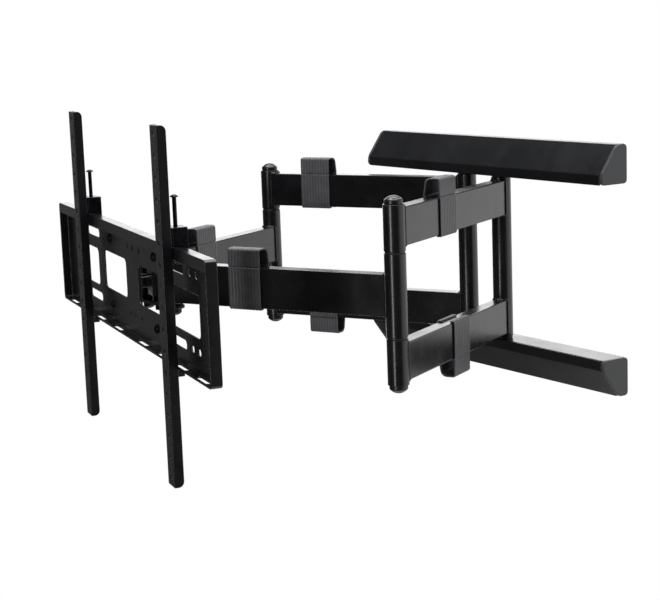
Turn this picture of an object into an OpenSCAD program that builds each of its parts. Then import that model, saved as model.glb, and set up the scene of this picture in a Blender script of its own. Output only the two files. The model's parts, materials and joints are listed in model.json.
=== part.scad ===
// Full motion wall mount for a television: two articulated arms between a wall frame and a
// tilting, swivelling plate that carries two sliding rails.
// Millimetres. X runs right along the wall, +Y runs into the wall, Z is up, and the origin is
// the centre of the wall frame on the wall's face. An arm's direction is an angle in degrees
// from straight out of the wall, positive towards the left.

/* [Wall frame] */
// Length of the two wall channels
frame_w = 480; // [420:5:600]
// Height of each wall channel
channel_h = 46; // [40:1:70]
// Depth of the channel flange that carries the shoulder bolts
channel_depth = 38; // [34:1:50]
// Thickness of the channel steel
channel_t = 3; // [2:0.5:4]
// Distance between the wall studs that the frame is screwed to
stud_spacing = 406; // [300:1:410]
// Width of a wall slot
slot_w = 9; // [6:0.5:12]
// Length of a wall slot, end to end
slot_l = 40; // [20:1:60]

/* [Covers] */
// Wall of the plastic covers
cover_t = 2; // [1.5:0.1:3]
// Depth of a cover at its front lip
cover_depth = 42; // [42:1:60]
// Height of the upright front lip
cover_lip = 12.5; // [8:0.5:20]
// Depth of a cover at its far edge, where it meets the wall
cover_edge = 16; // [8:1:30]
// Length of an end cap beyond the cover
cap_l = 5; // [3:0.5:12]

/* [Arms] */
// Distance between two pivots of one link
link_l = 316; // [240:1:400]
// Distance between the right and left pivots, at the wall and at the head
pivot_spacing = 72; // [66:1:120]
// Distance from the wall face to the shoulder axes
pivot_out = 26; // [22:1:34]
// Direction of the right rear arm as stored
right_angle = -27; // [-80:1:-10]
// Direction of the left rear arm as stored
left_angle = 64; // [10:1:80]
// Height of an elbow column without its caps
column_h = 214; // [190:1:260]
// Radius of the pivot tubes
tube_r = 13; // [12:0.5:16]
// Height of the forearm's elbow knuckle
knuckle_h = 99; // [80:1:110]
// Height of a rear arm bar
rear_bar_h = 46; // [30:1:48]
// Distance from a column's end to the rear arm bar
rear_bar_inset = 4; // [2:0.5:8]
// Height of the forearm bar
fore_bar_h = 50; // [30:1:52]
// Thickness of all bars
bar_t = 20; // [14:0.5:23]
// Wall of the box section bars
bar_wall = 2; // [1.5:0.1:3]

/* [Pivots] */
// Diameter of the shoulder and elbow bolts
bolt_d = 12; // [10:0.5:14]
// Wall of the nylon bushes
bush_wall = 2.5; // [1.5:0.1:3]
// Length of a nylon bush
bush_l = 18; // [10:1:24]
// Thickness of the nylon thrust washers
washer_t = 2; // [1:0.1:3]
// Play between a turning piece and what it turns on
running_play = 0.05; // [0.02:0.01:0.1]
// Play above and below each thrust washer
end_play = 0.2; // [0.1:0.05:0.3]
// Height of the domed elbow caps
dome_h = 10; // [9:0.5:14]

/* [Head] */
// Distance from the swivel axis to the front of the plate's sheet
head_depth = 38; // [38:0.5:70]
// Distance from the swivel axis to the tilt axis
tilt_out = 22; // [20:0.5:22]
// Swivel of the plate as stored, positive towards the left
head_angle = 12; // [-20:1:20]
// Height of the forearm's head knuckle
head_knuckle_h = 54; // [52:1:64]
// Thickness of the yoke steel
yoke_t = 4; // [3:0.5:6]
// Radius of the forearms' head knuckles
head_tube_r = 10.5; // [9.5:0.5:11.5]
// Diameter of the head bolts
head_bolt_d = 8; // [6:0.5:10]
// Radius of the swivel tube
swivel_r = 12; // [10:0.5:12.5]
// Half the width of the swivel bracket, over its tilt ears
tilt_ear_out = 11.5; // [10:0.5:12]
// Thickness of the tilt ears
tilt_ear_t = 3; // [2:0.5:3.5]
// Diameter of the tilt bolt
tilt_bolt_d = 6; // [5:0.5:7]
// Radius of the tilt ears' round ends
tilt_ear_r = 7; // [6:0.5:8]

/* [Plate] */
// Width of the television plate
plate_w = 700; // [660:5:800]
// Height of the television plate
plate_h = 142; // [138:1:170]
// Depth of the plate's flanges
plate_depth = 14; // [10:0.5:20]
// Thickness of the plate steel
plate_t = 2.5; // [2:0.1:3]
// Height of the lip that hangs from the top flange
plate_lip = 14; // [8:0.5:18]
// Width of the bolt rectangle that holds the plate on its frame
frame_bolt_w = 210; // [190:1:240]
// Height of the bolt rectangle that holds the plate on its frame
frame_bolt_h = 88; // [80:1:100]
// Width of the four windows in the plate
window_w = 112; // [60:1:114]
// Height of the four windows in the plate
window_h = 50; // [30:1:54]
// Corner radius of the plate
plate_corner = 6; // [4:0.5:12]
// Corner radius of the cable windows
window_r = 8; // [3:1:12]

/* [Rails] */
// Length of a rail
rail_l = 420; // [415:1:520]
// Width of a rail's web
rail_w = 26; // [24:1:40]
// Depth of a rail's sides
rail_depth = 12; // [10:0.5:18]
// Thickness of the rail steel
rail_t = 2.5; // [2:0.1:3]
// Distance from the plate's middle to the left rail's middle as stored
left_rail_out = 182; // [80:1:280]
// Distance from the plate's middle to the right rail's middle as stored
right_rail_out = 218; // [80:1:280]
// Distance between two rail holes
hole_pitch = 25; // [20:1:30]
// Number of holes in a rail
hole_count = 17; // [5:2:17]
// Diameter of a rail hole, for an M6 screw
hole_d = 6.6; // [5:0.1:9]
// Height of the levelling screws above their blocks
screw_h = 34; // [20:1:60]

/* [Cable clips] */
// Length of a clip along its bar
clip_l = 46; // [20:1:60]
// Wall of a clip
clip_t = 1.8; // [1.2:0.1:3]
// Height of the cable loop above the bar
clip_loop = 23; // [16:1:30]

/* [Hidden] */
$fn = 64;

// Heights, from the middle of the column outwards
column_top = column_h / 2;
seam_z = knuckle_h / 2;
outer_knuckle_z = seam_z + washer_t + 2 * end_play;
rear_bar_z = column_top - rear_bar_inset - rear_bar_h;
channel_z = column_top + washer_t + 2 * end_play;
channel_top = channel_z + channel_h;
head_knuckle_z = head_knuckle_h / 2;
yoke_z = head_knuckle_z + washer_t + 2 * end_play;

// Radii of the pivots
bolt_r = bolt_d / 2;
bush_bore_r = bolt_r + running_play;
tube_bore_r = bush_bore_r + bush_wall;
head_bolt_r = head_bolt_d / 2;
head_bush_bore_r = head_bolt_r + running_play;
head_tube_bore_r = head_bush_bore_r + bush_wall;
bolt_head_r = bolt_r + 3;
bolt_head_h = 7;
washer_r = tube_r - 1;
dome_r = bolt_head_r + 2.2;

// Plan positions of the six pivots, with link directions shared crosswise by the two arms
function out(a) = [-sin(a), -cos(a)];
right_shoulder = [pivot_spacing / 2, -pivot_out];
left_shoulder = [-pivot_spacing / 2, -pivot_out];
right_elbow = right_shoulder + link_l * out(right_angle);
left_elbow = left_shoulder + link_l * out(left_angle);
right_head = right_elbow + link_l * out(left_angle);
left_head = left_elbow + link_l * out(right_angle);
head_centre = (right_head + left_head) / 2;

// Depths in front of the swivel axis
plate_back = head_depth - plate_t;
tilt_frame_t = 3;
tilt_frame_back = plate_back - tilt_frame_t;
lip_front = plate_back + plate_depth;
slide_play = 0.5;
rail_back = lip_front + slide_play;
rail_front = rail_back + rail_depth;
yoke_r = head_tube_r + 1;
yoke_web_y = swivel_r + 1.5;
hook_h = 22;
hook_w = 24;
hook_t = 5;
screw_r = 2.5;
screw_out = rail_back - 9;
frame_bolt_r = 3;

// Shades of the finishes
powder_black = "#1b1c1e";
satin_black = "#2a2b2e";
cap_grey = "#3a3b3d";
clip_grey = "#4a4b4d";
zinc = "#b9bcc0";
black_steel = "#202022";
nylon = "#1a1a1b";

// Places children at a plan point, with local +X along an arm's direction
module at_pivot(point, angle = 0) {
    translate([point[0], point[1], 0]) rotate([0, 0, 270 - angle]) children();
}

// Places children in the plate's frame: X right along the plate, -Y out of the wall
module at_head() {
    translate([head_centre[0], head_centre[1], 0]) rotate([0, 0, -head_angle]) children();
}

module both_z() {
    children();
    mirror([0, 0, 1]) children();
}

module both_x() {
    children();
    mirror([1, 0, 0]) children();
}

module ring(r, bore, z, h) {
    translate([0, 0, z]) difference() {
        cylinder(r = r, h = h);
        translate([0, 0, -1]) cylinder(r = bore, h = h + 2);
    }
}

module slot(length, width, depth) {
    for (x = [-1, 1] * (length - width) / 2)
        translate([x, 0, 0]) cylinder(d = width, h = depth);
    translate([-(length - width) / 2, -width / 2, 0]) cube([length - width, width, depth]);
}

// Box section bar between two pivots, coped to the tubes that it is welded to
module bar(z, h, far_r = tube_r) {
    difference() {
        translate([0, -bar_t / 2, z]) cube([link_l, bar_t, h]);
        translate([-1, -bar_t / 2 + bar_wall, z + bar_wall])
            cube([link_l + 2, bar_t - 2 * bar_wall, h - 2 * bar_wall]);
        translate([0, 0, z - 1]) cylinder(r = tube_r, h = h + 2);
        translate([link_l, 0, z - 1]) cylinder(r = far_r, h = h + 2);
    }
}

module bush_pair(z, bore, outer) {
    both_z() ring(outer, bore, z - bush_l, bush_l);
}

// Cable clip on a bar whose top is at z: a strap round the bar with a tall loop above it
module clip(along, z, h) {
    outer = bar_t / 2 + clip_t;
    translate([along, 0, 0]) rotate([90, 0, 90]) linear_extrude(clip_l) difference() {
        union() {
            translate([0, z + clip_loop - outer]) circle(r = outer);
            translate([-outer, z - h - clip_t]) square([2 * outer, h + clip_t + clip_loop - outer]);
        }
        translate([0, z + clip_loop - outer]) circle(r = outer - clip_t);
        translate([-bar_t / 2, z]) square([bar_t, clip_loop - outer]);
        translate([-bar_t / 2, z - h]) square([bar_t, h]);
        translate([-bar_t / 2 + 4, z - h - clip_t - 1]) square([bar_t - 8, clip_t + 2]);
    }
}

// Wall frame ------------------------------------------------------------------

module wall_channel() {
    color(powder_black) difference() {
        translate([-frame_w / 2, 0, 0]) rotate([90, 0, 90]) linear_extrude(frame_w) union() {
            translate([-channel_t, channel_z]) square([channel_t, channel_h]);
            translate([-channel_depth, channel_z]) square([channel_depth, channel_t]);
            translate([-cover_edge + cover_t, channel_top - channel_t])
                square([cover_edge - cover_t, channel_t]);
        }
        translate([0, 1, channel_z + channel_h / 2]) rotate([90, 0, 0]) {
            for (x = [-1, 1] * stud_spacing / 2)
                translate([x, 0, 0]) slot(slot_l, slot_w, channel_t + 2);
            cylinder(d = slot_w, h = channel_t + 2);
        }
        for (p = [right_shoulder, left_shoulder])
            translate([p[0], p[1], channel_z - 1]) cylinder(r = bolt_r, h = channel_t + 2);
    }
}

module upper_wall_channel() wall_channel();
module lower_wall_channel() mirror([0, 0, 1]) wall_channel();

// Section of a cover in Y and Z: lip, slanted front and the strip back to the wall
cover_top = channel_top + cover_t;
cover_bottom = channel_z - 0.5;
lip_top = cover_bottom + cover_lip;
slant = atan2(cover_top - lip_top, cover_depth - cover_edge);
module cover_outline(t) {
    polygon([[0, cover_bottom - 1], [-cover_depth + t, cover_bottom - 1],
        [-cover_depth + t, lip_top - t * tan((90 - slant) / 2)],
        [-cover_edge + t * tan(slant / 2), cover_top - t], [0, cover_top - t]]);
}

module cover() {
    color(satin_black) translate([-frame_w / 2, 0, 0]) rotate([90, 0, 90])
        linear_extrude(frame_w) intersection() {
            difference() {
                cover_outline(0);
                cover_outline(cover_t);
            }
            translate([-cover_depth, cover_bottom]) square([cover_depth, channel_h + 10]);
        }
}

module upper_cover() cover();
module lower_cover() mirror([0, 0, 1]) cover();

module end_caps() {
    color(cap_grey) both_x() translate([frame_w / 2, 0, 0]) {
        rotate([90, 0, 90]) linear_extrude(cap_l) intersection() {
            cover_outline(0);
            translate([-cover_depth, cover_bottom]) square([cover_depth, channel_h + 10]);
        }
        translate([-8, -cover_edge, channel_z + channel_t + 2]) cube([8, 10, channel_h - 20]);
    }
}

module upper_end_caps() end_caps();
module lower_end_caps() mirror([0, 0, 1]) end_caps();

module shoulder_bolts() {
    color(zinc) for (p = [right_shoulder, left_shoulder]) translate([p[0], p[1], 0]) {
        translate([0, 0, -channel_z - channel_t - 10])
            cylinder(r = bolt_r, h = 2 * (channel_z + channel_t) + 10);
        translate([0, 0, channel_z + channel_t]) cylinder(r = bolt_head_r, h = bolt_head_h, $fn = 6);
    }
}

module shoulder_nuts() {
    color(zinc) for (p = [right_shoulder, left_shoulder])
        translate([p[0], p[1], -channel_z - channel_t - 8]) difference() {
            cylinder(r = bolt_head_r, h = 8, $fn = 6);
            translate([0, 0, -1]) cylinder(r = bolt_r, h = 10);
        }
}

module shoulder_washers() {
    color(nylon) for (p = [right_shoulder, left_shoulder]) translate([p[0], p[1], 0])
        both_z() ring(washer_r, bolt_r, column_top + 2 * end_play, washer_t);
}

// Rear arms -------------------------------------------------------------------

module rear_bar(shoulder, angle, upper) {
    color(powder_black) at_pivot(shoulder, angle)
        bar(upper ? rear_bar_z : -rear_bar_z - rear_bar_h, rear_bar_h);
}

module shoulder_tube(shoulder) {
    color(powder_black) at_pivot(shoulder) ring(tube_r, tube_bore_r, -column_top, column_h);
}

module outer_knuckle(elbow, upper) {
    h = column_top - outer_knuckle_z;
    color(powder_black) at_pivot(elbow)
        ring(tube_r, tube_bore_r, upper ? outer_knuckle_z : -column_top, h);
}

module rear_bushes(shoulder, elbow) {
    color(nylon) {
        at_pivot(shoulder) bush_pair(column_top, bush_bore_r, tube_bore_r);
        at_pivot(elbow) both_z() {
            ring(tube_bore_r, bush_bore_r, outer_knuckle_z, bush_l);
            ring(tube_bore_r, bush_bore_r, column_top - bush_l, bush_l);
        }
    }
}

module rear_clip(shoulder, angle, along, upper) {
    color(clip_grey) at_pivot(shoulder, angle) mirror([0, 0, upper ? 0 : 1])
        clip(along, rear_bar_z + rear_bar_h, rear_bar_h);
}

module elbow_bolt(elbow) {
    color(zinc) at_pivot(elbow) {
        translate([0, 0, -column_top - bolt_head_h]) cylinder(r = bolt_r, h = column_h + 2 * bolt_head_h);
        both_z() ring(bolt_head_r, bolt_r, column_top + end_play, bolt_head_h - end_play);
    }
}

module elbow_washers(elbow) {
    color(nylon) at_pivot(elbow) both_z() ring(washer_r, bolt_r, seam_z + end_play, washer_t);
}

// Hollow domed caps over the bolt's two ends
module elbow_caps(elbow) {
    color(satin_black) at_pivot(elbow) both_z() translate([0, 0, column_top + end_play])
        difference() {
            dome(dome_r, dome_h);
            translate([0, 0, -0.01]) cylinder(r = bolt_head_r, h = bolt_head_h - end_play + 0.01);
        }
}

// Low dome: a short upright skirt below a spherical crown
module dome(r, h) {
    crown = r / 2;
    sphere_r = (r * r + crown * crown) / (2 * crown);
    cylinder(r = r, h = h - crown);
    translate([0, 0, h - crown]) intersection() {
        translate([0, 0, crown - sphere_r]) sphere(r = sphere_r);
        cylinder(r = r, h = crown + 1);
    }
}

module right_rear_upper_bar() rear_bar(right_shoulder, right_angle, true);
module right_rear_lower_bar() rear_bar(right_shoulder, right_angle, false);
module right_shoulder_tube() shoulder_tube(right_shoulder);
module right_elbow_upper_knuckle() outer_knuckle(right_elbow, true);
module right_elbow_lower_knuckle() outer_knuckle(right_elbow, false);
module right_rear_bushes() rear_bushes(right_shoulder, right_elbow);
module right_rear_upper_clip() rear_clip(right_shoulder, right_angle, 168, true);
module right_rear_lower_clip() rear_clip(right_shoulder, right_angle, 136, false);
module right_elbow_bolt() elbow_bolt(right_elbow);
module right_elbow_washers() elbow_washers(right_elbow);
module right_elbow_caps() elbow_caps(right_elbow);

module left_rear_upper_bar() rear_bar(left_shoulder, left_angle, true);
module left_rear_lower_bar() rear_bar(left_shoulder, left_angle, false);
module left_shoulder_tube() shoulder_tube(left_shoulder);
module left_elbow_upper_knuckle() outer_knuckle(left_elbow, true);
module left_elbow_lower_knuckle() outer_knuckle(left_elbow, false);
module left_rear_bushes() rear_bushes(left_shoulder, left_elbow);
module left_rear_upper_clip() rear_clip(left_shoulder, left_angle, 210, true);
module left_rear_lower_clip() rear_clip(left_shoulder, left_angle, 204, false);
module left_elbow_bolt() elbow_bolt(left_elbow);
module left_elbow_washers() elbow_washers(left_elbow);
module left_elbow_caps() elbow_caps(left_elbow);

// Forearms --------------------------------------------------------------------

module forearm_bar(elbow, angle) {
    color(powder_black) at_pivot(elbow, angle) bar(-fore_bar_h / 2, fore_bar_h, head_tube_r);
}

module forearm_elbow_knuckle(elbow) {
    color(powder_black) at_pivot(elbow) ring(tube_r, tube_bore_r, -seam_z, knuckle_h);
}

module forearm_head_knuckle(head) {
    color(powder_black) at_pivot(head)
        ring(head_tube_r, head_tube_bore_r, -head_knuckle_z, head_knuckle_h);
}

module forearm_bushes(elbow, head) {
    color(nylon) {
        at_pivot(elbow) bush_pair(seam_z, bush_bore_r, tube_bore_r);
        at_pivot(head) bush_pair(head_knuckle_z, head_bush_bore_r, head_tube_bore_r);
    }
}

module forearm_clip(elbow, angle, along) {
    color(clip_grey) at_pivot(elbow, angle) clip(along, fore_bar_h / 2, fore_bar_h);
}

module right_forearm_bar() forearm_bar(right_elbow, left_angle);
module right_forearm_elbow_knuckle() forearm_elbow_knuckle(right_elbow);
module right_forearm_head_knuckle() forearm_head_knuckle(right_head);
module right_forearm_bushes() forearm_bushes(right_elbow, right_head);
module right_forearm_clip() forearm_clip(right_elbow, left_angle, 180);

module left_forearm_bar() forearm_bar(left_elbow, right_angle);
module left_forearm_elbow_knuckle() forearm_elbow_knuckle(left_elbow);
module left_forearm_head_knuckle() forearm_head_knuckle(left_head);
module left_forearm_bushes() forearm_bushes(left_elbow, left_head);
module left_forearm_clip() forearm_clip(left_elbow, right_angle, 168);

// Head ------------------------------------------------------------------------

// U-shaped yoke that always stays parallel to the wall
module head_yoke() {
    color(powder_black) difference() {
        translate([head_centre[0], head_centre[1], 0]) {
            both_z() translate([0, 0, yoke_z]) {
                for (x = [-1, 1] * pivot_spacing / 2)
                    translate([x, 0, 0]) cylinder(r = yoke_r, h = yoke_t);
                translate([-pivot_spacing / 2, -yoke_r, 0]) cube([pivot_spacing, 2 * yoke_r, yoke_t]);
                translate([-swivel_r, 0, 0]) cube([2 * swivel_r, yoke_web_y + yoke_t, yoke_t]);
            }
            translate([-swivel_r, yoke_web_y, -yoke_z - 0.01])
                cube([2 * swivel_r, yoke_t, 2 * yoke_z + 0.02]);
        }
        for (p = [right_head, left_head]) translate([p[0], p[1], -yoke_z - yoke_t - 1])
            cylinder(r = head_bolt_r, h = 2 * (yoke_z + yoke_t + 1));
        translate([head_centre[0], head_centre[1], -yoke_z - yoke_t - 1])
            cylinder(r = bolt_r, h = 2 * (yoke_z + yoke_t + 1));
    }
}

module head_bolts() {
    color(zinc) for (p = [right_head, left_head]) at_pivot(p) {
        translate([0, 0, -yoke_z - yoke_t - 6]) cylinder(r = head_bolt_r, h = 2 * (yoke_z + yoke_t + 6));
        both_z() ring(head_tube_r - 1, head_bolt_r, head_knuckle_z + end_play, washer_t);
    }
}

module head_caps() {
    color(satin_black) for (p = [right_head, left_head]) at_pivot(p) both_z()
        translate([0, 0, yoke_z + yoke_t]) difference() {
            dome(head_bolt_r + 3.5, 9);
            translate([0, 0, -0.01]) cylinder(r = head_bolt_r, h = 6.01);
        }
}

module swivel_bolt() {
    color(zinc) at_pivot(head_centre) {
        translate([0, 0, -yoke_z - yoke_t - 6]) cylinder(r = bolt_r, h = 2 * (yoke_z + yoke_t + 6));
        both_z() ring(bolt_head_r, bolt_r, yoke_z + yoke_t, 6);
    }
}

module swivel_tube() {
    color(powder_black) at_head() ring(swivel_r, bush_bore_r, -yoke_z + 1, 2 * yoke_z - 2);
}

// Neck welded to the front of the swivel tube, ending in two ears for the tilt bolt
module swivel_bracket() {
    width = 2 * tilt_ear_out;
    height = 40;
    floor_y = swivel_r + tilt_ear_t;
    color(powder_black) at_head() difference() {
        union() {
            translate([-width / 2, -floor_y, -height / 2]) cube([width, floor_y - swivel_r / 2, height]);
            both_x() {
                translate([tilt_ear_out - tilt_ear_t, -tilt_out, -tilt_ear_r])
                    cube([tilt_ear_t, tilt_out - swivel_r, 2 * tilt_ear_r]);
                translate([tilt_ear_out - tilt_ear_t, -tilt_out, 0]) rotate([0, 90, 0])
                    cylinder(r = tilt_ear_r, h = tilt_ear_t);
            }
        }
        translate([0, 0, -height / 2 - 1]) cylinder(r = swivel_r, h = height + 2);
        tilt_bore(tilt_bolt_d / 2);
    }
}

// Everything on the tilt axis takes its hole from here
module tilt_bore(r) {
    translate([-plate_w / 2, -tilt_out, 0]) rotate([0, 90, 0]) cylinder(r = r, h = plate_w);
}

tilt_frame_ear_x = tilt_ear_out + end_play;
tilt_nut_x = tilt_frame_ear_x + tilt_ear_t + end_play;
tilt_nut_h = 3.5;
tilt_nut_r = tilt_bolt_d / 2 + 2.5;

module tilt_bolt() {
    reach = tilt_nut_x + tilt_nut_h;
    color(zinc) at_head() translate([-reach, -tilt_out, 0]) rotate([0, 90, 0])
        cylinder(r = tilt_bolt_d / 2, h = 2 * reach);
}

module tilt_nuts() {
    color(zinc) at_head() both_x() translate([tilt_nut_x, -tilt_out, 0]) rotate([0, 90, 0])
        difference() {
            cylinder(r = tilt_nut_r, h = tilt_nut_h, $fn = 6);
            translate([0, 0, -1]) cylinder(r = tilt_bolt_d / 2, h = tilt_nut_h + 2);
        }
}

// Frame bolted to the back of the plate, with ears outside those of the bracket
module tilt_frame() {
    width = frame_bolt_w + 24;
    height = frame_bolt_h + 12;
    web = 52;
    color(powder_black) at_head() difference() {
        union() {
            translate([-width / 2, -plate_back, -height / 2]) cube([width, tilt_frame_t, height]);
            both_x() {
                translate([tilt_frame_ear_x, -tilt_frame_back, -tilt_ear_r])
                    cube([tilt_ear_t, tilt_frame_back - tilt_out, 2 * tilt_ear_r]);
                translate([tilt_frame_ear_x, -tilt_out, 0]) rotate([0, 90, 0])
                    cylinder(r = tilt_ear_r, h = tilt_ear_t);
            }
        }
        tilt_bore(tilt_bolt_d / 2 + running_play);
        frame_bolt_places() cylinder(r = frame_bolt_r, h = head_depth);
        both_x() translate([web / 2, -head_depth, -window_h / 2 - 2])
            cube([width, head_depth - tilt_frame_back + 1, window_h + 4]);
    }
}

module frame_bolt_places() {
    for (x = [-1, 1] * frame_bolt_w / 2, z = [-1, 1] * frame_bolt_h / 2)
        translate([x, 0, z]) rotate([90, 0, 0]) children();
}

// Plate -----------------------------------------------------------------------

// Opening through the plate's sheet with its middle at (x, z)
module window(x, z) {
    inner_w = window_w - 2 * window_r;
    inner_h = window_h - 2 * window_r;
    translate([x, 1 - plate_back, z]) rotate([90, 0, 0]) linear_extrude(plate_t + 2)
        offset(r = window_r) square([inner_w, inner_h], center = true);
}

// Starts a small cut through the plate's sheet at (x, z)
module plate_hole(x, z) {
    translate([x, 1 - plate_back, z]) rotate([90, 0, 0]) children();
}

// Block of the plate's outline, from a depth forward, with its sides moved in by inset
module pressing(depth, inset) {
    r = plate_corner - inset;
    sides = [plate_w - 2 * plate_corner, plate_h - 2 * plate_corner];
    translate([0, -depth, 0]) rotate([90, 0, 0]) linear_extrude(plate_depth)
        offset(r = r) square(sides, center = true);
}

// Pressed pan with flanges folded forward and a lip that hangs from the top flange
module tv_plate() {
    hole_z = plate_h / 2 - 27;
    color(powder_black) at_head() difference() {
        union() {
            difference() {
                pressing(plate_back, 0);
                pressing(head_depth, plate_t);
            }
            intersection() {
                pressing(plate_back, 0);
                translate([-plate_w / 2, -lip_front, plate_h / 2 - plate_lip])
                    cube([plate_w, plate_t, plate_lip]);
            }
        }
        both_x() {
            window(window_w / 2 + 28, 0);
            window(plate_w / 2 - 122, -3);
            for (z = [-1, 1]) {
                plate_hole(195, z * hole_z) slot(66, 11, plate_t + 2);
                for (x = [251, 276])
                    plate_hole(x, z * hole_z) slot(12, 8, plate_t + 2);
            }
            for (x = [60, 150, 225, 305])
                translate([x, -plate_back - plate_depth / 2 - 1, -plate_h / 2 - 1])
                    slot(42, 6, plate_t + 2);
        }
        for (x = [-16, 8, 38], z = [-1, 1])
            plate_hole(x, z * hole_z) cylinder(r = 3, h = plate_t + 2);
        frame_bolt_places() cylinder(r = frame_bolt_r, h = head_depth + 1);
    }
}

module plate_bolts() {
    nut_h = 5;
    tail = tilt_frame_back - nut_h - 1;
    color(black_steel) at_head() frame_bolt_places() {
        translate([0, 0, tail]) cylinder(r = frame_bolt_r, h = head_depth - tail);
        translate([0, 0, head_depth]) dome(2 * frame_bolt_r, 4);
        translate([0, 0, tilt_frame_back - nut_h]) difference() {
            cylinder(r = 5.5, h = nut_h, $fn = 6);
            translate([0, 0, -1]) cylinder(r = frame_bolt_r, h = nut_h + 2);
        }
    }
}

// Rails -----------------------------------------------------------------------

module at_rail(side) {
    at_head() translate([side < 0 ? -left_rail_out : right_rail_out, 0, 0]) children();
}

module rail(side) {
    color(powder_black) at_rail(side) difference() {
        translate([-rail_w / 2, -rail_front, -rail_l / 2]) cube([rail_w, rail_depth, rail_l]);
        translate([-rail_w / 2 + rail_t, -rail_front + rail_t, -rail_l / 2 - 1])
            cube([rail_w - 2 * rail_t, rail_depth, rail_l + 2]);
        for (i = [-(hole_count - 1) / 2 : (hole_count - 1) / 2])
            translate([0, 1 - rail_back, i * hole_pitch]) rotate([90, 0, 0])
                cylinder(d = hole_d, h = rail_depth + 2);
    }
}

// Block fixed in the rail that hangs over the plate's top flange
module hook(side) {
    top = plate_h / 2 + slide_play;
    inner_w = rail_w - 2 * rail_t;
    rear = plate_back - slide_play - hook_t;
    color(black_steel) at_rail(side) difference() {
        union() {
            translate([-hook_w / 2, -lip_front + 1, top]) cube([hook_w, lip_front - 1 - rear, hook_h]);
            translate([-hook_w / 2, -rear - hook_t, top - 14]) cube([hook_w, hook_t, 15]);
            translate([-inner_w / 2, rail_t - rail_front, top])
                cube([inner_w, rail_front - lip_front - rail_t + 1, hook_h]);
        }
        translate([0, -screw_out, top - 1]) cylinder(r = screw_r + running_play, h = hook_h + 2);
    }
}

// Levelling screw that stands on the plate's top flange
module screw(side) {
    foot = plate_h / 2 + 0.3;
    length = hook_h + screw_h;
    color(black_steel) at_rail(side) translate([0, -screw_out, foot]) {
        cylinder(r = screw_r, h = length);
        translate([0, 0, length]) dome(5, 3);
    }
}

// Block in the rail that reaches back under the plate's bottom flange
module lower_hook(side) {
    top = -plate_h / 2 - slide_play;
    inner_w = rail_w - 2 * rail_t;
    color(satin_black) at_rail(side) {
        translate([-inner_w / 2, rail_t - rail_front, top - 8])
            cube([inner_w, rail_front - rail_t - lip_front + 8, 7]);
        translate([-inner_w / 2, rail_t - rail_front, top - 16])
            cube([inner_w, rail_depth - rail_t, 26]);
    }
}

module left_rail() rail(-1);
module left_hook() hook(-1);
module left_screw() screw(-1);
module left_lower_hook() lower_hook(-1);
module right_rail() rail(1);
module right_hook() hook(1);
module right_screw() screw(1);
module right_lower_hook() lower_hook(1);

upper_wall_channel();
lower_wall_channel();
upper_cover();
lower_cover();
upper_end_caps();
lower_end_caps();
shoulder_bolts();
shoulder_nuts();
shoulder_washers();
right_rear_upper_bar();
right_rear_lower_bar();
right_shoulder_tube();
right_elbow_upper_knuckle();
right_elbow_lower_knuckle();
right_rear_bushes();
right_rear_upper_clip();
right_rear_lower_clip();
right_elbow_bolt();
right_elbow_washers();
right_elbow_caps();
right_forearm_bar();
right_forearm_elbow_knuckle();
right_forearm_head_knuckle();
right_forearm_bushes();
right_forearm_clip();
left_rear_upper_bar();
left_rear_lower_bar();
left_shoulder_tube();
left_elbow_upper_knuckle();
left_elbow_lower_knuckle();
left_rear_bushes();
left_rear_upper_clip();
left_rear_lower_clip();
left_elbow_bolt();
left_elbow_washers();
left_elbow_caps();
left_forearm_bar();
left_forearm_elbow_knuckle();
left_forearm_head_knuckle();
left_forearm_bushes();
left_forearm_clip();
head_yoke();
head_bolts();
head_caps();
swivel_bolt();
swivel_tube();
swivel_bracket();
tilt_bolt();
tilt_nuts();
tilt_frame();
tv_plate();
plate_bolts();
left_rail();
left_hook();
left_screw();
left_lower_hook();
right_rail();
right_hook();
right_screw();
right_lower_hook();
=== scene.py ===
"""Full motion television wall mount: the visual model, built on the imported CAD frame."""

import json
import logging
import math
from collections.abc import Callable, Iterable
from dataclasses import dataclass, field
from enum import Enum

import bmesh
import bpy
from mathutils import Matrix, Vector

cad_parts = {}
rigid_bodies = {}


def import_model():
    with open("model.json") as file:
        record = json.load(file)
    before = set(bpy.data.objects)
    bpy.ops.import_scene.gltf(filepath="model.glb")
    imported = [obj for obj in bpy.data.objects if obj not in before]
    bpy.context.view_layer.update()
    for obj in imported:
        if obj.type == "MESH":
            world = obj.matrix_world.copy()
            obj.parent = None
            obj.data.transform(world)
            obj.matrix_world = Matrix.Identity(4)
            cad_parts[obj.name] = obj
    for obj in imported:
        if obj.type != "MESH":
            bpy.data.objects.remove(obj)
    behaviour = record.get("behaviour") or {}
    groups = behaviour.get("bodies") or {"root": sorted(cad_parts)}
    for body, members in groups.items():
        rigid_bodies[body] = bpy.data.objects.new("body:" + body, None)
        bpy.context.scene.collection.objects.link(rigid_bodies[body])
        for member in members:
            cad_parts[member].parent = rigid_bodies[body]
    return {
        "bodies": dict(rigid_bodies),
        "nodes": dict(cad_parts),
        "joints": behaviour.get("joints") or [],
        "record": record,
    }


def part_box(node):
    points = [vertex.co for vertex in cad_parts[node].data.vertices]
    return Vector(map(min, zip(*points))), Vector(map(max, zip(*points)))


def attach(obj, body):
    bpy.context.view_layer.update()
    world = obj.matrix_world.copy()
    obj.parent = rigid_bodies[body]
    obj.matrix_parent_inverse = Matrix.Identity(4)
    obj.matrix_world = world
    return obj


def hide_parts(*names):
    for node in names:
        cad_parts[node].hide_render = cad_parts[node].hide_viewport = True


LOG = logging.getLogger("wall_mount")
MM = 0.001
UM = 1e-6
UP = Vector((0.0, 0.0, 1.0))
# Faces that meet at less than this are joined into one flat face.
FLAT_ANGLE = math.radians(0.5)
# Edges sharper than this are rounded.
EDGE_ANGLE = math.radians(28.0)
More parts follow.
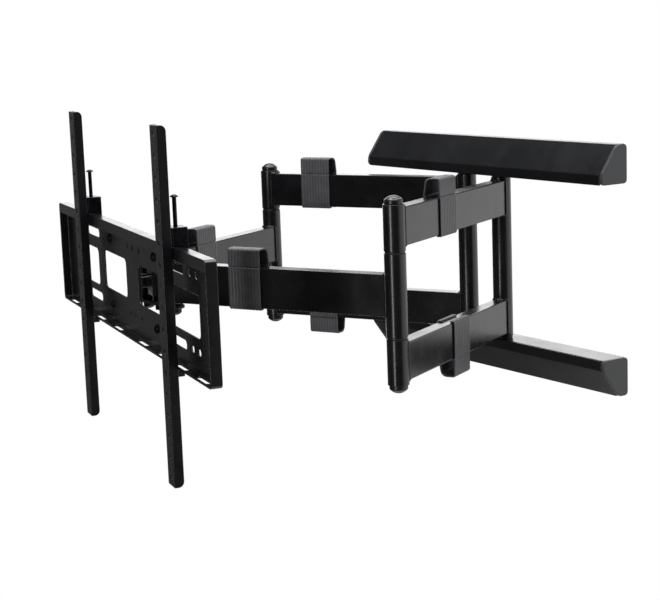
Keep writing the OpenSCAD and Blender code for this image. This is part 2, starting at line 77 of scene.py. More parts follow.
# Faces that meet at less than this are shaded as one curved surface.
SHADE_ANGLE = math.radians(44.0)
# Cosines above which an edge runs roughly, or truly, along a line.
ROUGHLY_ALONG = 0.98
TRULY_ALONG = 0.999
# Points of a CAD copy, or of a bead, that are nearer than this are one point.
JOIN_MM = 0.02
BEAD_JOIN_MM = 0.01
# How near a place is to a face or an end that it counts as being on it.
TOUCH_MM = 0.1
SKIN_MM = 0.2
# A noise keeps near its middle, and seldom passes these values.
NOISE_LOW, NOISE_HIGH = 0.3, 0.7
# Mould pits are finer than the noise that varies them, and a sprayed coat's cells are coarser.
PIT_FINENESS = 1.6
CELL_FINENESS = 0.6
# How much of the noise is added to those cells, and of the roughness's spread to the fine texture.
CELL_NOISE = 0.6
GRAIN_SHARE = 0.8
# A bead swells with each drop of metal and wavers slowly with the hand: how much, and how fast a point.
DROP_SWELL, DROP_RATE = 0.13, 2.1
WAVER_SWELL, WAVER_RATE = 0.05, 0.37
# Distance between a bead's points, and the number of steps round each of a bar's corners.
BEAD_STEP_MM = 1.2
CORNER_STEPS = 4


# Finishes ---------------------------------------------------------------------


def linear(hex_colour: str) -> tuple[float, float, float, float]:
    """Turns an sRGB hex colour into the linear colour that a shader takes.

    Args:
        hex_colour: Six hex digits, with or without a leading #.

    Returns:
        Linear red, green and blue, and an alpha of 1.
    """
    digits = hex_colour.lstrip("#")
    parts = [int(digits[k : k + 2], 16) / 255 for k in (0, 2, 4)]
    flat = [p / 12.92 if p <= 0.04045 else ((p + 0.055) / 1.055) ** 2.4 for p in parts]
    return (flat[0], flat[1], flat[2], 1.0)


def per_metre(size_mm: float) -> float:
    """Gives a texture scale whose features are about size_mm apart."""
    return 1.0 / (size_mm * MM)


def node(
    tree: bpy.types.NodeTree,
    kind: str,
    links: dict[str | int, object] | None = None,
    **settings: object,
) -> bpy.types.Node:
    """Adds a shader node with its settings and links.

    Args:
        tree: The node tree that takes it.
        kind: The node's type name.
        links: Input socket (name or number) to the socket or plain value that feeds it.
        **settings: Properties of the node itself.

    Returns:
        The new node.
    """
    made = tree.nodes.new(kind)
    for key, value in settings.items():
        setattr(made, key, value)
    for key, value in (links or {}).items():
        if isinstance(value, bpy.types.NodeSocket):
            tree.links.new(value, made.inputs[key])
        else:
            made.inputs[key].default_value = value
    return made


class Surface(Enum):
    """How a finish was made, which decides what its fine texture looks like."""

    SPRAYED = "sprayed"
    MOULDED = "moulded"
    PLATED = "plated"


@dataclass(frozen=True)
class Finish:
    """One real finish, and the numbers that draw it.

    The dark and light colours are the ends of its slow colour variation, grain_mm and grain_um
    the pitch and height of its fine texture, and wander_mm the size of its duller patches.
    """

    name: str
    surface: Surface
    dark: str
    light: str
    roughness: float
    spread: float
    grain_mm: float
    grain_um: float
    wander_mm: float
    metallic: float = 0.0
    ior: float = 1.5

    def material(self) -> bpy.types.Material:
        """Builds the finish's material once, and gives the same one afterwards.

        Returns:
            The material.
        """
        old = bpy.data.materials.get(self.name)
        if old is not None:
            return old
        made = bpy.data.materials.new(self.name)
        made.use_nodes = True
        tree = made.node_tree
        shader = tree.nodes["Principled BSDF"]
        place = node(tree, "ShaderNodeTexCoord").outputs["Object"]
        patches = {"Vector": place, "Scale": per_metre(self.wander_mm), "Detail": 4.0, "Roughness": 0.6}
        wander = node(tree, "ShaderNodeTexNoise", patches).outputs["Fac"]
        grain = self.grain(tree, place)
        patch = self.stretched(tree, wander, 0.0, 1.0)
        shades = {"Factor": patch, 6: linear(self.dark), 7: linear(self.light)}
        colour = node(tree, "ShaderNodeMix", shades, data_type="RGBA").outputs[2]
        low, high = self.roughness - self.spread, self.roughness + self.spread
        dull = self.stretched(tree, wander, low, high)
        sheen = {0: grain, 1: self.spread * GRAIN_SHARE, 2: dull}
        fine = node(tree, "ShaderNodeMath", sheen, operation="MULTIPLY_ADD").outputs[0]
        relief = {"Height": grain, "Strength": 1.0, "Distance": self.grain_um * UM}
        bump = node(tree, "ShaderNodeBump", relief).outputs["Normal"]
        tree.links.new(colour, shader.inputs["Base Color"])
        tree.links.new(fine, shader.inputs["Roughness"])
        tree.links.new(bump, shader.inputs["Normal"])
        shader.inputs["Metallic"].default_value = self.metallic
        if not self.metallic:
            shader.inputs["IOR"].default_value = self.ior
        return made

    def stretched(
        self, tree: bpy.types.NodeTree, value: bpy.types.NodeSocket, low: float, high: float
    ) -> bpy.types.NodeSocket:
        """Spreads a noise value, which keeps near its middle, over a whole range.

        Args:
            tree: The material's node tree.
            value: The noise.
            low: What the noise's low end becomes.
            high: What its high end becomes.

        Returns:
            The spread value's socket.
        """
        links = {"Value": value, "From Min": NOISE_LOW, "From Max": NOISE_HIGH, "To Min": low, "To Max": high}
        return node(tree, "ShaderNodeMapRange", links).outputs["Result"]

    def grain(self, tree: bpy.types.NodeTree, place: bpy.types.NodeSocket) -> bpy.types.NodeSocket:
        """Draws the fine texture that the surface's making leaves.

        Args:
            tree: The material's node tree.
            place: The place on the piece, in metres.

        Returns:
            The texture's height, from 0 to 1.
        """
        scale = per_metre(self.grain_mm)
        links = {"Vector": place, "Scale": scale, "Detail": 3.0, "Roughness": 0.55}
        fine = node(tree, "ShaderNodeTexNoise", links).outputs["Fac"]
        if self.surface is Surface.MOULDED:
            links = {"Vector": place, "Scale": scale * PIT_FINENESS}
            pits = node(tree, "ShaderNodeTexVoronoi", links, feature="F1").outputs["Distance"]
            return node(tree, "ShaderNodeMath", {0: fine, 1: pits}, operation="MULTIPLY").outputs[0]
        if self.surface is Surface.SPRAYED:
            links = {"Vector": place, "Scale": scale * CELL_FINENESS}
            cells = node(tree, "ShaderNodeTexVoronoi", links, feature="SMOOTH_F1").outputs["Distance"]
            links = {0: fine, 1: CELL_NOISE, 2: cells}
            return node(tree, "ShaderNodeMath", links, operation="MULTIPLY_ADD").outputs[0]
        return fine


# Polyester powder, sprayed and baked: its fine orange peel breaks reflections into a soft satin.
POWDER_COAT = Finish(
    "powder_coated_steel",
    Surface.SPRAYED,
    dark="0b0c0e",
    light="131417",
    roughness=0.23,
    spread=0.04,
    grain_mm=0.7,
    grain_um=1.0,
    wander_mm=34.0,
)
# ABS from a spark-eroded mould: an even, fine matte that greys where the light grazes it.
MOULDED_ABS = Finish(
    "moulded_satin_abs",
    Surface.MOULDED,
    dark="0d0e10",
    light="141518",
    roughness=0.3,
    spread=0.04,
    grain_mm=0.6,
    grain_um=3.0,
    wander_mm=45.0,
)
# The same plastic in dark grey, and duller, for the end caps.
GREY_ABS = Finish(
    "moulded_grey_abs",
    Surface.MOULDED,
    dark="3c3d3f",
    light="46474a",
    roughness=0.46,
    spread=0.05,
    grain_mm=0.6,
    grain_um=5.0,
    wander_mm=30.0,
)
# Charcoal polypropylene: waxy and soft, with a slight mottle from its flow in the mould.
CLIP_POLYPROPYLENE = Finish(
    "moulded_polypropylene",
    Surface.MOULDED,
    dark="4f4f52",
    light="5e5e61",
    roughness=0.46,
    spread=0.06,
    grain_mm=0.5,
    grain_um=4.0,
    wander_mm=14.0,
    ior=1.49,
)
# Bright zinc on rolled steel: a blue-white metal whose sheen varies with the plating's crystals.
ZINC_PLATE = Finish(
    "zinc_plated_steel",
    Surface.PLATED,
    dark="a9adb2",
    light="c8ccd1",
    roughness=0.3,
    spread=0.07,
    grain_mm=0.8,
    grain_um=6.0,
    wander_mm=5.0,
    metallic=1.0,
)
# Black zinc on turned screws: a thin dark film, so the metal's sharp highlights stay.
BLACK_ZINC = Finish(
    "black_zinc_steel",
    Surface.PLATED,
    dark="1d1d20",
    light="2c2c30",
    roughness=0.3,
    spread=0.06,
    grain_mm=0.8,
    grain_um=6.0,
    wander_mm=6.0,
    metallic=1.0,
)
# Black nylon, moulded: a dull black, and a little glossy where the pivots rub it.
BLACK_NYLON = Finish(
    "moulded_black_nylon",
    Surface.MOULDED,
    dark="18181a",
    light="232325",
    roughness=0.42,
    spread=0.06,
    grain_mm=0.7,
    grain_um=3.0,
    wander_mm=8.0,
    ior=1.53,
)

SLOT_FINISHES = {
    "powder_coat": POWDER_COAT,
    "satin_plastic": MOULDED_ABS,
    "grey_plastic": GREY_ABS,
    "clip_plastic": CLIP_POLYPROPYLENE,
    "zinc_steel": ZINC_PLATE,
    "black_steel": BLACK_ZINC,
    "nylon": BLACK_NYLON,
}


# Shared mesh work -------------------------------------------------------------


@dataclass
class Workshop:
    """The loaded frame, with where each CAD node belongs, and the shared mesh work."""

    frame: dict
    body_of: dict[str, str] = field(default_factory=dict)
    slot_of: dict[str, str] = field(default_factory=dict)
    made: list[str] = field(default_factory=list)

    def __post_init__(self) -> None:
        """Reads each node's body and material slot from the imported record."""
        record = self.frame["record"]
        for body, names in record["behaviour"]["bodies"].items():
            self.body_of.update({name: body for name in names})
        self.slot_of = {part["node"]: part["material_slot"] for part in record["subparts"]}

    def centre(self, name: str) -> Vector:
        """Gives the middle of a CAD node's box, in metres."""
        low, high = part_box(name)
        return (low + high) / 2

    def copy_of(self, name: str) -> bmesh.types.BMesh:
        """Copies a CAD node's mesh, with doubled points joined and flat faces made whole.

        Args:
            name: The CAD node.

        Returns:
            The copy, as a bmesh.
        """
        bm = bmesh.new()
        bm.from_mesh(self.frame["nodes"][name].data)
        bmesh.ops.remove_doubles(bm, verts=bm.verts, dist=JOIN_MM * MM)
        bmesh.ops.dissolve_limit(bm, angle_limit=FLAT_ANGLE, verts=bm.verts, edges=bm.edges)
        return bm

    def soften(
        self,
        bm: bmesh.types.BMesh,
        radius_mm: float,
        segments: int,
        chosen: Callable[[bmesh.types.BMEdge], bool] | None = None,
    ) -> None:
        """Rounds a mesh's sharp edges.

        Args:
            bm: The mesh.
            radius_mm: How far from the edge the rounding starts.
            segments: How many faces the rounding has.
            chosen: Says which of the sharp edges to round; all of them if it is missing.
        """
        sharp = [
            edge
            for edge in bm.edges
            if len(edge.link_faces) == 2
            and edge.calc_face_angle(0.0) > EDGE_ANGLE
            and (chosen is None or chosen(edge))
        ]
        if sharp:
            bmesh.ops.bevel(
                bm,
                geom=sharp,
                offset=radius_mm * MM,
                offset_type="OFFSET",
                segments=segments,
                profile=0.5,
                affect="EDGES",
                clamp_overlap=False,
                material=-1,
            )

    def finish_piece(
        self, bm: bmesh.types.BMesh, name: str, body: str, slot: str, stands_for: Iterable[str] = ()
    ) -> bpy.types.Object:
        """Turns a bmesh into a shaded piece that rides on its body.

        Args:
            bm: The finished shape, in metres, in place.
            name: The piece's name.
            body: The CAD body that it moves with.
            slot: The record's material slot that it takes its finish from.
            stands_for: The CAD nodes that it replaces.

        Returns:
            The new object.
        """
        bmesh.ops.recalc_face_normals(bm, faces=bm.faces)
        for face in bm.faces:
            face.smooth = True
        for edge in bm.edges:
            if len(edge.link_faces) == 2:
                edge.smooth = edge.calc_face_angle(0.0) < SHADE_ANGLE
        mesh = bpy.data.meshes.new(name)
        bm.to_mesh(mesh)
        bm.free()
        piece = bpy.data.objects.new(name, mesh)
        bpy.context.scene.collection.objects.link(piece)
        mesh.materials.append(SLOT_FINISHES[slot].material())
        even = piece.modifiers.new("even_shading", "WEIGHTED_NORMAL")
        even.keep_sharp = True
        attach(piece, body)
        replaced = list(stands_for)
        if replaced:
            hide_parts(*replaced)
        self.made.append(name)
        return piece

    def carry_over(self, name: str, radius_mm: float, segments: int) -> bpy.types.Object:
        """Makes the visible piece for a CAD node whose shape is right but for its hard edges.

        Args:
            name: The CAD node.
            radius_mm: How far its edges are rounded.
            segments: How many faces the rounding has.

        Returns:
            The new object.
        """
        bm = self.copy_of(name)
        self.soften(bm, radius_mm, segments)
        return self.finish_piece(bm, f"{name}_visual", self.body_of[name], self.slot_of[name], [name])

    def bead(self, name: str, body: str, path: list[Vector], radius_mm: float) -> bpy.types.Object:
        """Lays a weld bead along a closed path, with the ripple of a hand-fed weld.

        Args:
            name: The piece's name.
            body: The CAD body that it moves with.
            path: Points round the joint, in metres, evenly spaced.
            radius_mm: The bead's mean radius.

        Returns:
            The new object.
        """
        curve = bpy.data.curves.new(name, "CURVE")
        curve.dimensions = "3D"
        curve.bevel_depth = radius_mm * MM
        curve.bevel_resolution = 2
        line = curve.splines.new("POLY")
        line.points.add(len(path) - 1)
        for k, (point, place) in enumerate(zip(line.points, path)):
            point.co = (*place, 1.0)
            drop, waver = math.sin(k * DROP_RATE), math.sin(k * WAVER_RATE)
            point.radius = 1.0 + DROP_SWELL * drop + WAVER_SWELL * waver
        line.use_cyclic_u = True
        holder = bpy.data.objects.new(name + "_path", curve)
        mesh = bpy.data.meshes.new_from_object(holder)
        bm = bmesh.new()
        bm.from_mesh(mesh)
        bpy.data.objects.remove(holder)
        bpy.data.meshes.remove(mesh)
        bmesh.ops.remove_doubles(bm, verts=bm.verts, dist=BEAD_JOIN_MM * MM)
        return self.finish_piece(bm, name, body, "powder_coat")


# Sub-assemblies ---------------------------------------------------------------


@dataclass
class WallFrame:
    """The two wall channels with their covers, end caps and shoulder bolts."""

    shop: Workshop
    channel_bend_mm: float = 1.4
    cover_edge_mm: float = 0.72
    cap_edge_mm: float = 0.9
    outline_mm: float = 5.0
    fixing_edge_mm: float = 0.5

    def build(self) -> None:
        """Makes every piece of the wall frame."""
        for level in ("upper", "lower"):
            self.shop.carry_over(f"{level}_wall_channel", self.channel_bend_mm, 3)
            self.shop.carry_over(f"{level}_cover", self.cover_edge_mm, 3)
            self.end_caps(f"{level}_end_caps")
        for name in ("shoulder_bolts", "shoulder_nuts", "shoulder_washers"):
            self.shop.carry_over(name, self.fixing_edge_mm, 2)

    def end_caps(self, name: str) -> None:
        """Makes a channel's two end caps, with the corners of their outline well rounded.

        Args:
            name: The CAD node.
        """
        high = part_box(name)[1]

        def outline_corner(edge: bmesh.types.BMEdge) -> bool:
            """Says whether an edge is a corner of a cap's outline, on its visible outer end.

            Args:
                edge: One of the cap's edges.

            Returns:
                True if it is such a corner.
            """
            a, b = (v.co for v in edge.verts)
            runs_along = abs(a.x - b.x) > ROUGHLY_ALONG * (b - a).length
            return runs_along and max(abs(a.x), abs(b.x)) > high.x - TOUCH_MM * MM

        bm = self.shop.copy_of(name)
        self.shop.soften(bm, self.outline_mm, 4, outline_corner)
        self.shop.soften(bm, self.cap_edge_mm, 3)
        self.shop.finish_piece(bm, f"{name}_visual", "wall_frame", "grey_plastic", [name])


@dataclass
class Arm:
    """One folding arm: two rear bars, a forearm bar, their knuckles, bolts and cable clips.

    Its sizes are in millimetres. The front and the back are the two sides of a clip's loop.
    """

    shop: Workshop
    side: str
    bar_t: float = 20.0
    corner_mm: float = 1.9
    tube_r: float = 13.0
    head_tube_r: float = 10.5
    bead_mm: float = 2.0
    tube_edge_mm: float = 0.7
    fixing_edge_mm: float = 0.4
    cap_edge_mm: float = 0.8
    clip_l: float = 46.0
    clip_t: float = 1.8
    clip_loop: float = 23.0
    # The real ribs are about half as far apart, which is too fine to show in the render.
    rib_pitch: float = 4.6
    rib_h: float = 0.55
    rings_per_rib: int = 4
    foot: float = 6.0
    foot_round: float = 1.2
    foot_rise: float = 0.4
    side_faces: int = 6
    pinch: tuple[tuple[float, float], ...] = ((0.0, -0.8), (1.5, 0.5), (0.5, 1.8))
    front_bend: float = 3.4
    front_lean: float = 0.7
    back_bend: float = 8.0
    back_lean: float = 2.8
    bend_start: int = 6
    bend_step: int = 12
    heart_share: float = 0.6

    def axis(self, name: str) -> Vector:
        """Gives a tube's middle, as a point at height 0."""
        middle = self.shop.centre(name)
        return Vector((middle.x, middle.y, 0.0))

    def build(self) -> None:
        """Makes every piece of the arm."""
        side = self.side
        shoulder = self.axis(f"{side}_shoulder_tube")
        elbow = self.axis(f"{side}_forearm_elbow_knuckle")
        head = self.axis(f"{side}_forearm_head_knuckle")
        for level in ("upper", "lower"):
            bar = f"{side}_rear_{level}_bar"
            self.bar(bar, shoulder, elbow, self.tube_r)
            self.clip(f"{side}_rear_{level}_clip", bar, shoulder, elbow, level == "lower")
            self.shop.carry_over(f"{side}_elbow_{level}_knuckle", self.tube_edge_mm, 3)
        self.bar(f"{side}_forearm_bar", elbow, head, self.head_tube_r)
        self.clip(f"{side}_forearm_clip", f"{side}_forearm_bar", elbow, head, False)
        for name in ("shoulder_tube", "forearm_elbow_knuckle", "forearm_head_knuckle"):
            self.shop.carry_over(f"{side}_{name}", self.tube_edge_mm, 3)
        for name in ("rear_bushes", "forearm_bushes", "elbow_washers", "elbow_bolt"):
            self.shop.carry_over(f"{side}_{name}", self.fixing_edge_mm, 2)
        self.shop.carry_over(f"{side}_elbow_caps", self.cap_edge_mm, 3)

    def bar(self, name: str, start: Vector, end: Vector, far_r: float) -> None:
        """Makes a box section bar with rolled corners, and the weld at each of its ends.

        Args:
            name: The CAD node.
            start: The axis of the tube at its first end.
            end: The axis of the tube at its other end.
            far_r: That tube's radius, in millimetres.
        """
        low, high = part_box(name)
        along = (end - start).normalized()
        across = UP.cross(along)
        skin = SKIN_MM * MM

        def outer_corner(edge: bmesh.types.BMEdge) -> bool:
            """Says whether an edge is one of the section's four outer corners.

            Args:
                edge: One of the bar's edges.

            Returns:
                True if it is such a corner.
            """
            a, b = (v.co for v in edge.verts)
            straight = abs((b - a).normalized().dot(along)) > TRULY_ALONG
            off = abs(((a + b) / 2 - start).dot(across))
            height = ((a + b) / 2).z
            outside = min(abs(height - low.z), abs(height - high.z)) < skin
            return straight and outside and off > self.bar_t / 2 * MM - skin

        bm = self.shop.copy_of(name)
        self.shop.soften(bm, self.corner_mm, 4, outer_corner)
        body = self.shop.body_of[name]
        self.shop.finish_piece(bm, f"{name}_visual", body, "powder_coat", [name])
        joints = (("near", start, along, self.tube_r), ("far", end, -along, far_r))
        for where, centre, reach, radius in joints:
            path = self.weld_path(centre, reach, radius, low.z, high.z)
            self.shop.bead(f"{name}_{where}_weld", body, path, self.bead_mm)

    def weld_path(
        self, centre: Vector, reach: Vector, radius: float, low: float, high: float
    ) -> list[Vector]:
        """Follows a bar's outline where it meets a tube.

        Args:
            centre: The tube's axis, at height 0.
            reach: The way from the tube along the bar.
            radius: The tube's radius, in millimetres.
            low: The bar's lowest height, in metres.
            high: The bar's highest height.

        Returns:
            Points round the joint, about BEAD_STEP_MM apart.
        """
        across = UP.cross(reach)
        half, corner = self.bar_t / 2 * MM, self.corner_mm * MM
        middle, tall = (low + high) / 2, (high - low) / 2
        outline = []
        for turn, (sx, sz) in enumerate(((1, 1), (-1, 1), (-1, -1), (1, -1))):
            pivot = Vector((sx * (half - corner), sz * (tall - corner)))
            for k in range(CORNER_STEPS + 1):
                angle = math.radians(90 * turn + 90 / CORNER_STEPS * k)
                outline.append(pivot + corner * Vector((math.cos(angle), math.sin(angle))))
        path = []
        for a, b in zip(outline, outline[1:] + outline[:1]):
            steps = max(1, round((b - a).length / (BEAD_STEP_MM * MM)))
            path.extend(a.lerp(b, k / steps) for k in range(steps))
        tube = radius * MM
        points = []
        for w, z in path:
            out = math.sqrt(max(tube**2 - w**2, 0.0))
            points.append(centre + across * w + reach * out + UP * (middle + z))
        return points

    def clip(self, name: str, bar: str, start: Vector, end: Vector, hanging: bool) -> None:
        """Makes a ribbed cable clip: a strap that grips the bar, pinched below a tall loop.

        Args:
            name: The CAD node.
            bar: The bar that it grips.
            start: The axis of the tube at the bar's first end.
            end: The axis of the tube at its other end.
            hanging: True if the loop hangs below the bar.
        """
        low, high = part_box(bar)
        along = (end - start).normalized()
        across = UP.cross(along)
        place = (self.shop.centre(name) - start).dot(along)
        flip = -1.0 if hanging else 1.0
        edge = low.z if hanging else high.z
        bm = self.ribbed((high.z - low.z) / MM)
        turn = Matrix((
            (across.x, along.x, 0.0, 0.0),
            (across.y, along.y, 0.0, 0.0),
            (0.0, 0.0, flip, 0.0),
            (0.0, 0.0, 0.0, 1.0),
        ))
        middle = start + along * place
        spot = Matrix.Translation((middle.x, middle.y, edge))
        bmesh.ops.transform(bm, matrix=spot @ turn, verts=bm.verts)
        body = self.shop.body_of[name]
        self.shop.finish_piece(bm, f"{name}_visual", body, self.shop.slot_of[name], [name])

    def ribbed(self, tall: float) -> bmesh.types.BMesh:
        """Draws the strap's line out along the bar, raises its ribs and gives it its thickness.

        Args:
            tall: The bar's height, in millimetres.

        Returns:
            The clip, centred along Y, with the bar's gripped edge at height 0.
        """
        rings = round(self.clip_l / self.rib_pitch) * self.rings_per_rib
        step = self.clip_l / rings
        bm = bmesh.new()
        verts = [bm.verts.new((w * MM, 0.0, z * MM)) for w, z in self.strap(tall)]
        for a, b in zip(verts, verts[1:]):
            bm.edges.new((a, b))
        live = bm.edges[:]
        for _ in range(rings):
            grown = bmesh.ops.extrude_edge_only(bm, edges=live)["geom"]
            live = [g for g in grown if isinstance(g, bmesh.types.BMEdge)]
            moved = [g for g in grown if isinstance(g, bmesh.types.BMVert)]
            bmesh.ops.translate(bm, verts=moved, vec=(0.0, step * MM, 0.0))
        bm.normal_update()
        bmesh.ops.recalc_face_normals(bm, faces=bm.faces)
        proud = Vector((0.0, 0.0, self.clip_loop * self.heart_share * MM))
        for vert in bm.verts:
            ring = round(vert.co.y / (step * MM))
            if ring % self.rings_per_rib:
                way = vert.normal.copy()
                if way.dot(Vector((vert.co.x, 0.0, vert.co.z)) - self.heart(vert.co, proud)) < 0:
                    way = -way
                vert.co += Vector((way.x, 0.0, way.z)).normalized() * self.rib_h * MM
        bmesh.ops.translate(bm, verts=bm.verts, vec=(0.0, -self.clip_l / 2 * MM, 0.0))
        bmesh.ops.solidify(bm, geom=bm.faces[:], thickness=self.clip_t * MM)
        return bm

    def heart(self, place: Vector, proud: Vector) -> Vector:
        """Gives the point inside the strap that a place's outside faces away from."""
        return proud if place.z > 0 else Vector((0.0, 0.0, place.z))

    def strap(self, tall: float) -> list[tuple[float, float]]:
        """Works out the strap's outer line: up one side, over the loop, and down the other.

        Args:
            tall: The bar's height, in millimetres.

        Returns:
            Points (across, up) in millimetres, with the bar's gripped edge at height 0.
        """
        outer = self.bar_t / 2 + self.clip_t
        under = -tall - self.clip_t
        side = [
            (outer - self.foot, under),
            (outer - self.foot_round, under),
            (outer, -tall - self.foot_rise),
        ]
        side += [(outer, -tall * k / self.side_faces) for k in range(self.side_faces - 1, 0, -1)]
        side += [(outer - inward, z) for inward, z in self.pinch]
        front = side + self.shoulder(outer - self.front_lean, self.front_bend)
        back = side + self.shoulder(outer - self.back_lean, self.back_bend)
        return front + [(-w, z) for w, z in reversed(back)]

    def shoulder(self, reach: float, bend: float) -> list[tuple[float, float]]:
        """Curves the loop's side over into its flat top.

        Args:
            reach: How far out the side stands, in millimetres.
            bend: The curve's radius.

        Returns:
            Points (across, up) in millimetres.
        """
        turns = [math.radians(a) for a in range(self.bend_start, 91, self.bend_step)]
        top = self.clip_loop - bend
        return [(reach - bend + bend * math.cos(a), top + bend * math.sin(a)) for a in turns]


@dataclass
class Head:
    """The yoke between the forearms and the swivelling, tilting bracket in front of it."""

    shop: Workshop
    plate_edge_mm: float = 0.9
    tube_edge_mm: float = 0.7
    cap_edge_mm: float = 0.8
    fixing_edge_mm: float = 0.45

    def build(self) -> None:
        """Makes every piece of the head."""
        for name in ("head_yoke", "swivel_bracket", "tilt_frame"):
            self.shop.carry_over(name, self.plate_edge_mm, 3)
        self.shop.carry_over("swivel_tube", self.tube_edge_mm, 3)
        self.shop.carry_over("head_caps", self.cap_edge_mm, 3)
        for name in ("head_bolts", "swivel_bolt", "tilt_bolt", "tilt_nuts"):
            self.shop.carry_over(name, self.fixing_edge_mm, 2)


@dataclass
class TelevisionPlate:
    """The pressed, flanged plate with its cable windows, slots and four frame bolts."""

    shop: Workshop
    bend_mm: float = 0.9
    bolt_edge_mm: float = 0.5

    def build(self) -> None:
        """Makes the plate and its bolts."""
        self.shop.carry_over("tv_plate", self.bend_mm, 3)
        self.shop.carry_over("plate_bolts", self.bolt_edge_mm, 3)


@dataclass
class RailCarriage:
    """One slotted rail that hangs on the plate, with its hook, lower hook and levelling screw.

    An edge shorter than wall_mm is a wall's thickness, and one within free_mm of the rail's back
    is on the free side of a wall.
    """

    shop: Workshop
    side: str
    bend_mm: float = 0.9
    corner_mm: float = 7.0
    wall_mm: float = 4.0
    free_mm: float = 8.0
    hook_edge_mm: float = 0.9
    lower_hook_edge_mm: float = 1.2
    screw_edge_mm: float = 0.4

    def build(self) -> None:
        """Makes every piece of the carriage."""
        self.rail()
        self.shop.carry_over(f"{self.side}_hook", self.hook_edge_mm, 3)
        self.shop.carry_over(f"{self.side}_lower_hook", self.lower_hook_edge_mm, 3)
        self.shop.carry_over(f"{self.side}_screw", self.screw_edge_mm, 2)

    def rail(self) -> None:
        """Makes the rail, with the free corners of its side walls rounded off."""
        name = f"{self.side}_rail"
        low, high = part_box(name)
        bm = self.shop.copy_of(name)
        nearest_wall = max(v.co.y for v in bm.verts)
        ends = (low.z, high.z)

        def free_corner(edge: bmesh.types.BMEdge) -> bool:
            """Says whether an edge is a side wall's corner at the rail's end.

            Args:
                edge: One of the rail's edges.

            Returns:
                True if it is such a corner.
            """
            a, b = (v.co for v in edge.verts)
            touch = TOUCH_MM * MM
            at_end = min(abs(a.z - end) for end in ends) < touch and abs(a.z - b.z) < touch
            free = max(a.y, b.y) > nearest_wall - self.free_mm * MM
            return at_end and (b - a).length < self.wall_mm * MM and free

        self.shop.soften(bm, self.corner_mm, 5, free_corner)
        self.shop.soften(bm, self.bend_mm, 3)
        self.shop.finish_piece(bm, f"{name}_visual", self.shop.body_of[name], "powder_coat", [name])


# Studio -----------------------------------------------------------------------


@dataclass(frozen=True)
class Lamp:
    """One rectangular soft light: its place and size in metres, and its power in watts."""

    name: str
    place: tuple[float, float, float]
    size: tuple[float, float]
    power: float


@dataclass(frozen=True)
class Glow:
    """One bright side of the surroundings.

    The strength goes from off to on as the cosine to the aim goes from start to full.
    """

    aim: tuple[float, float, float]
    start: float
    full: float
    off: float
    on: float


# A broad panel lights the tops, and a tall strip draws highlights down the tubes.
LAMPS = (
    Lamp("overhead", (-0.3, 0.0, 2.8), (3.0, 3.0), 155.0),
    Lamp("side_strip", (0.95, -2.9, 0.3), (0.35, 2.4), 30.0),
)
# The surroundings are bright on the wall's side and past the left end, and dim elsewhere.
WALL_SIDE = Glow((0.42, 0.9, -0.05), start=0.5, full=0.86, off=0.1, on=1.15)
LEFT_END = Glow((-0.82, 0.547, 0.05), start=0.86, full=0.96, off=0.0, on=2.2)


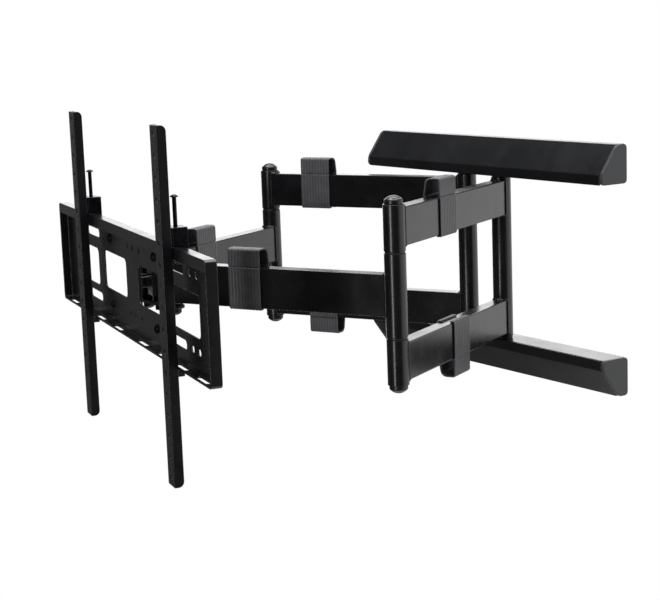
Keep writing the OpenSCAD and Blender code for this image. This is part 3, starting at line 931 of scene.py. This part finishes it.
@dataclass
class Studio:
    """The camera, the pale floor and the soft light. Its places are in metres."""

    azimuth: float = 56.27
    elevation: float = 9.77
    roll: float = -2.08
    place: tuple[float, float, float] = (1.68306, -1.40442, 0.31724)
    lens: float = 88.176
    sensor: float = 36.0
    lamp_aim: tuple[float, float, float] = (0.0, -0.2, 0.0)
    floor_z: float = -1.7
    floor_r: float = 1.2
    floor_colour: str = "f7f7f6"
    floor_roughness: float = 0.9
    floor_glow: float = 0.18
    backdrop: float = 1.0

    def build(self) -> None:
        """Sets up the camera, the floor and the light."""
        self.camera()
        self.floor()
        self.sky()
        for lamp in LAMPS:
            self.hang(lamp)

    def camera(self) -> None:
        """Places the camera and makes it the scene's own."""
        az, el, roll = (math.radians(v) for v in (self.azimuth, self.elevation, self.roll))
        right = Vector((math.cos(az), math.sin(az), 0.0))
        ahead = Vector((-math.sin(az) * math.cos(el), math.cos(az) * math.cos(el), -math.sin(el)))
        upward = right.cross(ahead)
        turned = math.cos(roll) * right + math.sin(roll) * upward
        stood = -math.sin(roll) * right + math.cos(roll) * upward
        data = bpy.data.cameras.new("camera")
        data.sensor_width = self.sensor
        data.sensor_fit = "HORIZONTAL"
        data.lens = self.lens
        data.clip_start, data.clip_end = 0.05, 60.0
        camera = bpy.data.objects.new("camera", data)
        facing = Matrix((turned, stood, -ahead)).transposed().to_4x4()
        camera.matrix_world = Matrix.Translation(self.place) @ facing
        bpy.context.scene.collection.objects.link(camera)
        bpy.context.scene.camera = camera
        bpy.context.scene.view_settings.view_transform = "Standard"

    def floor(self) -> None:
        """Lays the plain pale floor far below the mount."""
        bm = bmesh.new()
        bmesh.ops.create_circle(bm, cap_ends=True, segments=96, radius=self.floor_r)
        bmesh.ops.translate(bm, verts=bm.verts, vec=(0.0, 0.0, self.floor_z))
        mesh = bpy.data.meshes.new("floor")
        bm.to_mesh(mesh)
        bm.free()
        floor = bpy.data.objects.new("floor", mesh)
        bpy.context.scene.collection.objects.link(floor)
        paper = bpy.data.materials.new("floor_paper")
        paper.use_nodes = True
        shader = paper.node_tree.nodes["Principled BSDF"]
        shader.inputs["Base Color"].default_value = linear(self.floor_colour)
        shader.inputs["Roughness"].default_value = self.floor_roughness
        shader.inputs["Emission Color"].default_value = (1.0, 1.0, 1.0, 1.0)
        shader.inputs["Emission Strength"].default_value = self.floor_glow
        mesh.materials.append(paper)

    def sky(self) -> None:
        """Surrounds the mount with soft light, and shows the camera a plain white backdrop."""
        world = bpy.data.worlds.new("studio")
        bpy.context.scene.world = world
        world.use_nodes = True
        tree = world.node_tree
        way = node(tree, "ShaderNodeTexCoord").outputs["Generated"]
        wall_side = self.toward(tree, way, WALL_SIDE)
        left_end = self.toward(tree, way, LEFT_END)
        soft = node(tree, "ShaderNodeMath", {0: wall_side, 1: left_end}, operation="ADD").outputs[0]
        seen = node(tree, "ShaderNodeLightPath").outputs["Is Camera Ray"]
        links = {"Factor": seen, 2: soft, 3: self.backdrop}
        total = node(tree, "ShaderNodeMix", links, data_type="FLOAT").outputs[0]
        light = tree.nodes["Background"]
        light.inputs["Color"].default_value = (1.0, 1.0, 1.0, 1.0)
        tree.links.new(total, light.inputs["Strength"])

    def toward(
        self, tree: bpy.types.NodeTree, way: bpy.types.NodeSocket, glow: Glow
    ) -> bpy.types.NodeSocket:
        """Gives a strength that changes as a direction nears a glow's aim.

        Args:
            tree: The world's node tree.
            way: The direction.
            glow: The bright side.

        Returns:
            The strength's socket.
        """
        aim = {0: way, 1: Vector(glow.aim).normalized()}
        near = node(tree, "ShaderNodeVectorMath", aim, operation="DOT_PRODUCT").outputs["Value"]
        links = {"Value": near, "From Min": glow.start, "From Max": glow.full}
        links.update({"To Min": glow.off, "To Max": glow.on})
        return node(tree, "ShaderNodeMapRange", links, interpolation_type="SMOOTHSTEP").outputs["Result"]

    def hang(self, lamp: Lamp) -> None:
        """Hangs one soft light that faces the mount.

        Args:
            lamp: The light.
        """
        data = bpy.data.lights.new(lamp.name, "AREA")
        data.shape = "RECTANGLE"
        data.size, data.size_y = lamp.size
        data.energy = lamp.power
        hung = bpy.data.objects.new(lamp.name, data)
        hung.location = lamp.place
        facing = Vector(self.lamp_aim) - Vector(lamp.place)
        hung.rotation_euler = facing.to_track_quat("-Z", "Y").to_euler()
        bpy.context.scene.collection.objects.link(hung)


def main() -> None:
    """Loads the frame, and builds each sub-assembly in order."""
    logging.basicConfig(level=logging.INFO, format="%(message)s")
    shop = Workshop(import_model())
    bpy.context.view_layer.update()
    Studio().build()
    builders = [
        WallFrame(shop),
        Arm(shop, "right"),
        Arm(shop, "left"),
        Head(shop),
        TelevisionPlate(shop),
        RailCarriage(shop, "left"),
        RailCarriage(shop, "right"),
    ]
    for builder in builders:
        before = len(shop.made)
        builder.build()
        LOG.info("%s: %s", type(builder).__name__, ", ".join(shop.made[before:]))
    bpy.context.view_layer.update()


if __name__ == "__main__":
    main()
